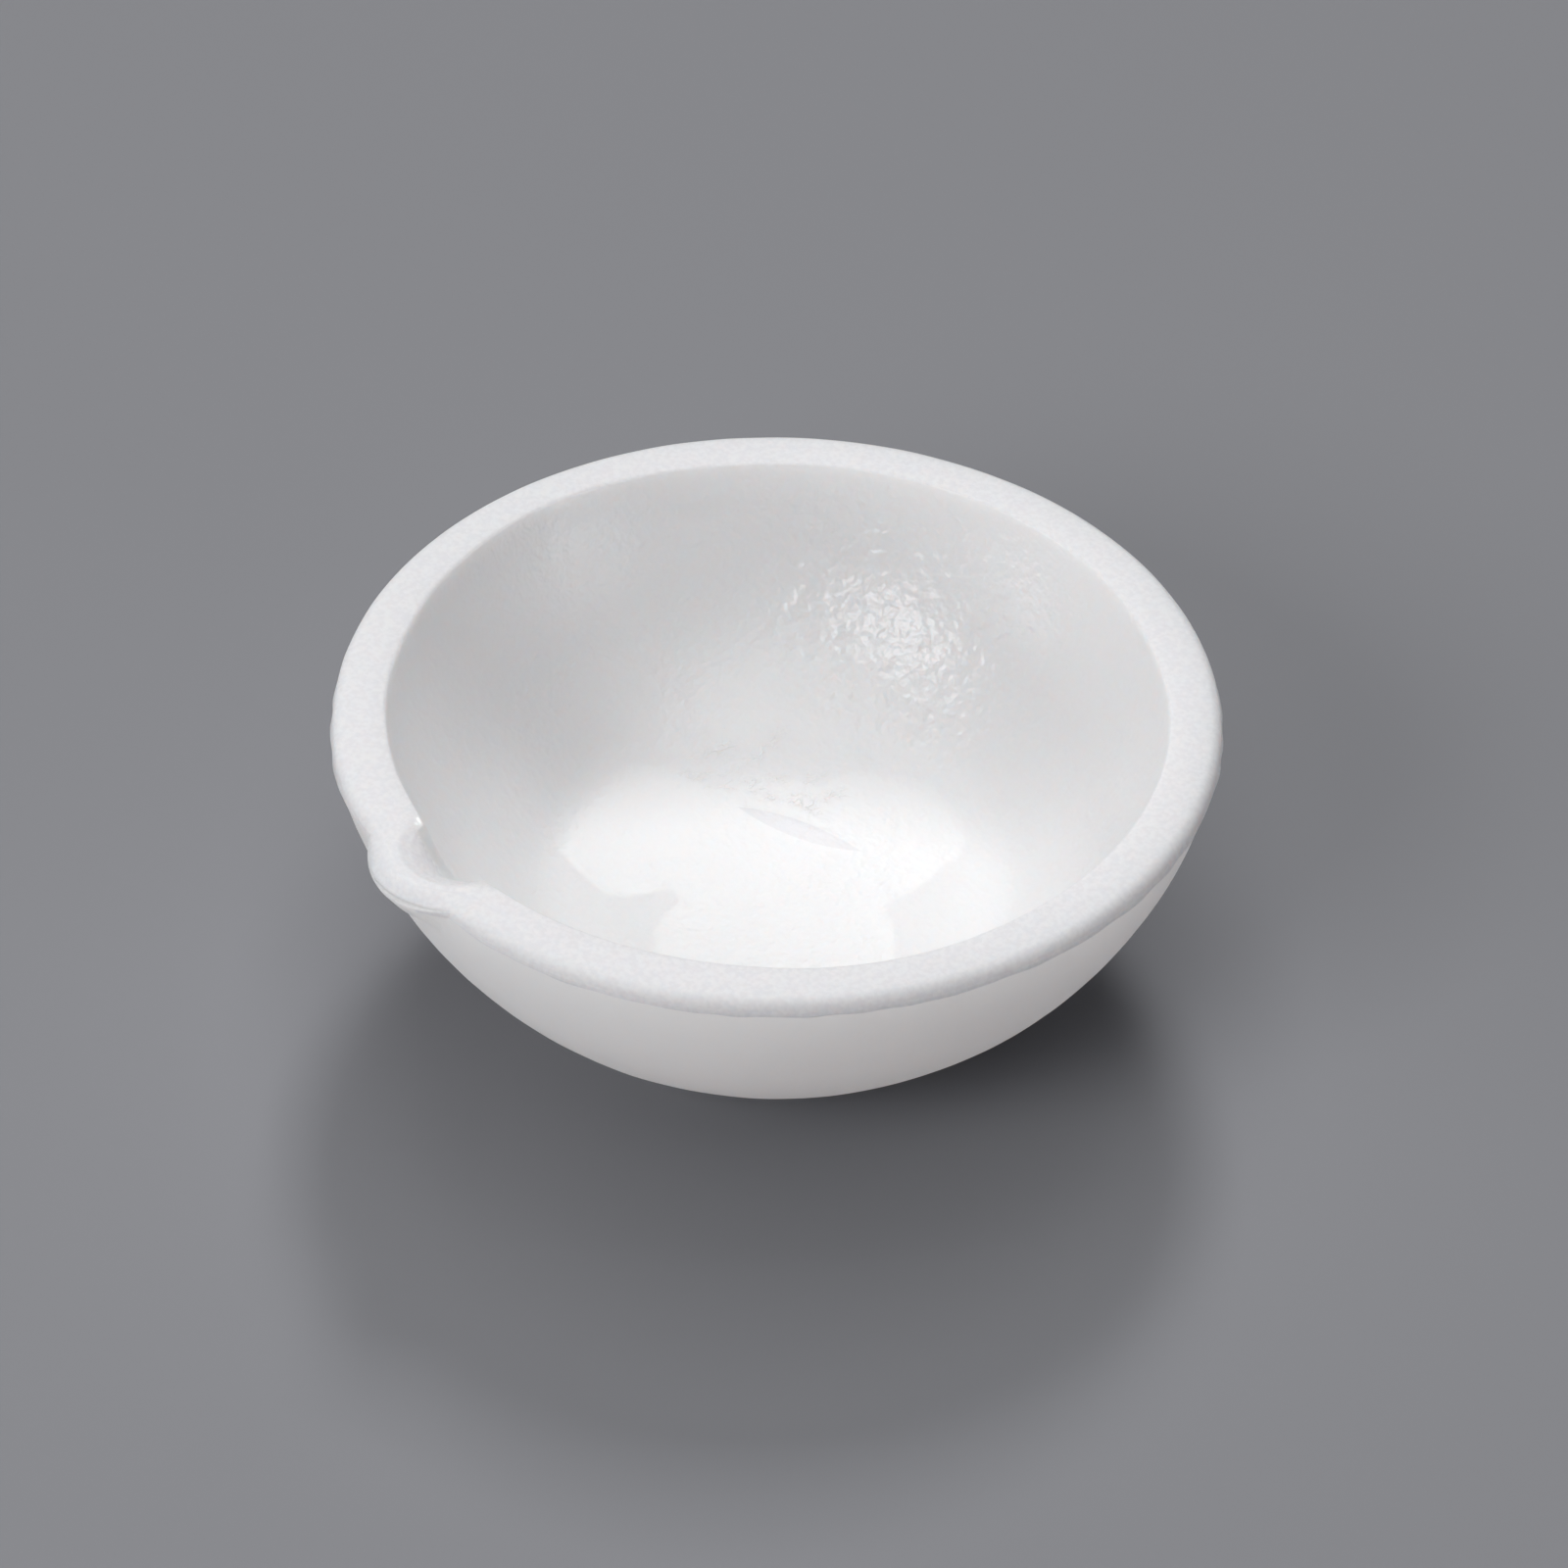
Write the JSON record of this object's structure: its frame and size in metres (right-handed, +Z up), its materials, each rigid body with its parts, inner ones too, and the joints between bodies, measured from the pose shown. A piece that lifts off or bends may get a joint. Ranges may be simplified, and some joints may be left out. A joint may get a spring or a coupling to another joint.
{
  "type": "quartz crucible",
  "caption": "Round dish of fused silica for melting metal, with a thick wall, a flat foot and a pouring lip in its rim.",
  "frame": {"origin": "centre of the foot's underside", "axes": "+Z up through the mouth, -Y towards the pouring lip"},
  "size_m": [0.1044, 0.1077, 0.04],
  "materials": {
    "fused_silica": "opaque white fused silica, matte outside, lightly glazed inside"
  },
  "bodies": {
    "root": {"melting_dish": "fused_silica"}
  },
  "joints": []
}
